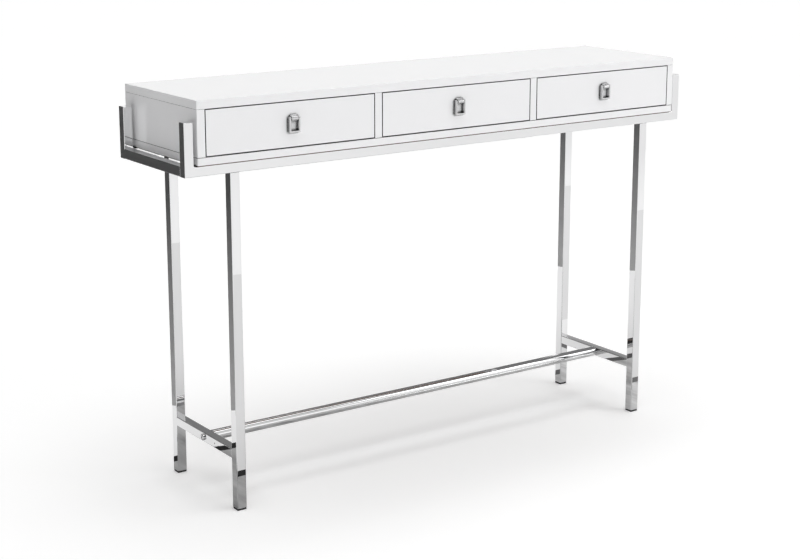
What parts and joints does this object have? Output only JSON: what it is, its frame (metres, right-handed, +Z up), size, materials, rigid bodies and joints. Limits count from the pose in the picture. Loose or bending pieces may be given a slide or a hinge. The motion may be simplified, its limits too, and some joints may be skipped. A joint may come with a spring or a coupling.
{
  "type": "console table",
  "caption": "Slim console table: white gloss case with inset drawers and swinging ring pulls, held in a chrome tube tray on square legs with end stretchers and a round cross bar.",
  "frame": {"origin": "on the floor, under the middle of the whole table, its pulls included", "axes": "+X along the table to the user's right, -Y towards the drawers' front, +Z up"},
  "size_m": [1.22, 0.2994, 0.797],
  "materials": {
    "lacquer": "white high-gloss lacquer on fibreboard",
    "chrome": "polished chrome plate on steel",
    "drawer_board": "satin white foil on board",
    "zinc_steel": "zinc plated",
    "dowel_wood": "plain beech",
    "glide_plastic": "black moulded plastic"
  },
  "bodies": {
    "frame_and_case": {"top_panel": "lacquer", "bottom_panel": "lacquer", "left_end_panel": "lacquer", "right_end_panel": "lacquer", "left_divider": "lacquer", "right_divider": "lacquer", "back_panel": "lacquer", "panel_dowels": "dowel_wood", "case_runners": "zinc_steel", "case_screws": "zinc_steel", "front_rail": "chrome", "rear_rail": "chrome", "left_end_rail": "chrome", "right_end_rail": "chrome", "front_left_upstand": "chrome", "front_right_upstand": "chrome", "rear_left_upstand": "chrome", "rear_right_upstand": "chrome", "front_left_leg": "chrome", "front_right_leg": "chrome", "rear_left_leg": "chrome", "rear_right_leg": "chrome", "front_left_glide": "glide_plastic", "front_right_glide": "glide_plastic", "rear_left_glide": "glide_plastic", "rear_right_glide": "glide_plastic", "leg_inserts": "zinc_steel", "leg_bolts": "zinc_steel", "left_stretcher": "chrome", "right_stretcher": "chrome", "cross_bar": "chrome", "cross_bar_inserts": "zinc_steel", "cross_bar_bolts": "chrome"},
    "left_drawer": {"left_drawer_front": "lacquer", "left_drawer_left_side": "drawer_board", "left_drawer_right_side": "drawer_board", "left_drawer_back": "drawer_board", "left_drawer_bottom": "drawer_board", "left_drawer_runners": "zinc_steel", "left_pull_bracket": "chrome", "left_pull_screw": "zinc_steel"},
    "left_ring": {"left_pull_ring": "chrome"},
    "middle_drawer": {"middle_drawer_front": "lacquer", "middle_drawer_left_side": "drawer_board", "middle_drawer_right_side": "drawer_board", "middle_drawer_back": "drawer_board", "middle_drawer_bottom": "drawer_board", "middle_drawer_runners": "zinc_steel", "middle_pull_bracket": "chrome", "middle_pull_screw": "zinc_steel"},
    "middle_ring": {"middle_pull_ring": "chrome"},
    "right_drawer": {"right_drawer_front": "lacquer", "right_drawer_left_side": "drawer_board", "right_drawer_right_side": "drawer_board", "right_drawer_back": "drawer_board", "right_drawer_bottom": "drawer_board", "right_drawer_runners": "zinc_steel", "right_pull_bracket": "chrome", "right_pull_screw": "zinc_steel"},
    "right_ring": {"right_pull_ring": "chrome"}
  },
  "joints": [
    {"name": "left_drawer_slide", "type": "slide", "parent": "frame_and_case", "child": "left_drawer", "axis": [0, -1, 0], "range_m": [0, 0.175]},
    {"name": "left_ring_swing", "type": "hinge", "parent": "left_drawer", "child": "left_ring", "pos_m": [-0.385, -0.14525, 0.749], "axis": [-1, 0, 0], "range_deg": [0, 165]},
    {"name": "middle_drawer_slide", "type": "slide", "parent": "frame_and_case", "child": "middle_drawer", "axis": [0, -1, 0], "range_m": [0, 0.175]},
    {"name": "middle_ring_swing", "type": "hinge", "parent": "middle_drawer", "child": "middle_ring", "pos_m": [0, -0.14525, 0.749], "axis": [-1, 0, 0], "range_deg": [0, 165]},
    {"name": "right_drawer_slide", "type": "slide", "parent": "frame_and_case", "child": "right_drawer", "axis": [0, -1, 0], "range_m": [0, 0.175]},
    {"name": "right_ring_swing", "type": "hinge", "parent": "right_drawer", "child": "right_ring", "pos_m": [0.385, -0.14525, 0.749], "axis": [-1, 0, 0], "range_deg": [0, 165]}
  ]
}
